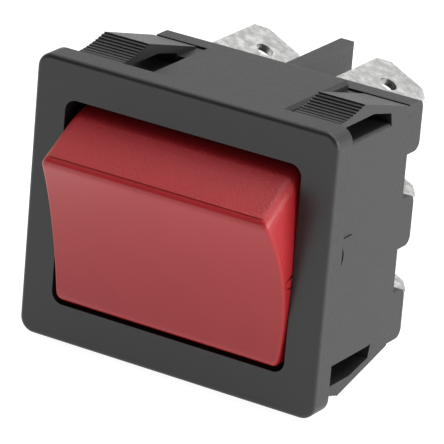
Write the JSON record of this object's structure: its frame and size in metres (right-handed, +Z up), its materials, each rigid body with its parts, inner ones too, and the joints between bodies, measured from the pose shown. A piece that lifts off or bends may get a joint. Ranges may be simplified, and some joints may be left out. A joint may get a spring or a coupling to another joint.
{
  "type": "panel rocker switch",
  "caption": "Snap-in panel rocker switch with a bezel, a dished rocker, spring latches, and blade terminals with a barrier at the rear.",
  "frame": {"origin": "centre of the panel cut-out in the plane of the bezel's rear face", "axes": "+X along the long side of the bezel, to the right seen from the front; +Y into the panel, towards the terminals; +Z up"},
  "size_m": [0.033, 0.0346, 0.0292],
  "materials": {
    "black_nylon": "satin moulded nylon with a fine texture",
    "red_rocker": "satin front face, finely grained end faces",
    "spring_wire": "drawn spring wire",
    "plunger_acetal": "smooth moulded plastic",
    "bridge_copper": "stamped strip",
    "contact_silver": "silver contact alloy, satin",
    "terminal_metal": "silver-plated stamped strip, slightly mottled"
  },
  "bodies": {
    "body": {"housing": "black_nylon", "base": "black_nylon", "fixed_contact_upper_left": "contact_silver", "fixed_contact_lower_left": "contact_silver", "fixed_contact_upper_right": "contact_silver", "fixed_contact_lower_right": "contact_silver", "common_terminal_left": "terminal_metal", "common_terminal_right": "terminal_metal", "terminal_upper_left": "terminal_metal", "terminal_lower_left": "terminal_metal", "terminal_upper_right": "terminal_metal", "terminal_lower_right": "terminal_metal"},
    "rocker": {"rocker": "red_rocker", "spring_left": "spring_wire", "spring_right": "spring_wire"},
    "plunger_left": {"plunger_left": "plunger_acetal"},
    "bridge_left": {"bridge_left": "bridge_copper", "bridge_contact_upper_left": "contact_silver", "bridge_contact_lower_left": "contact_silver"},
    "plunger_right": {"plunger_right": "plunger_acetal"},
    "bridge_right": {"bridge_right": "bridge_copper", "bridge_contact_upper_right": "contact_silver", "bridge_contact_lower_right": "contact_silver"}
  },
  "joints": [
    {"name": "rocker_tilt", "type": "hinge", "parent": "body", "child": "rocker", "pos_m": [0, 0.0021, 0], "axis": [1, 0, 0], "range_deg": [-32, 0]},
    {"name": "plunger_left_slide", "type": "slide", "parent": "rocker", "child": "plunger_left", "axis": [0, -0.9613, -0.2756], "range_m": [0, 0.001], "stiffness_N_per_m": 500, "springref_m": -0.003, "deforming": ["spring_left"]},
    {"name": "bridge_left_tilt", "type": "hinge", "parent": "body", "child": "bridge_left", "pos_m": [-0.007, 0.0102, 0], "axis": [1, 0, 0], "range_deg": [0, 14]},
    {"name": "plunger_right_slide", "type": "slide", "parent": "rocker", "child": "plunger_right", "axis": [0, -0.9613, -0.2756], "range_m": [0, 0.001], "stiffness_N_per_m": 500, "springref_m": -0.003, "deforming": ["spring_right"]},
    {"name": "bridge_right_tilt", "type": "hinge", "parent": "body", "child": "bridge_right", "pos_m": [0.007, 0.0102, 0], "axis": [1, 0, 0], "range_deg": [0, 14]}
  ],
  "couplings": [
    {"joint": "bridge_left_tilt", "follows": "rocker_tilt", "ratio": -0.4375},
    {"joint": "bridge_right_tilt", "follows": "rocker_tilt", "ratio": -0.4375}
  ]
}
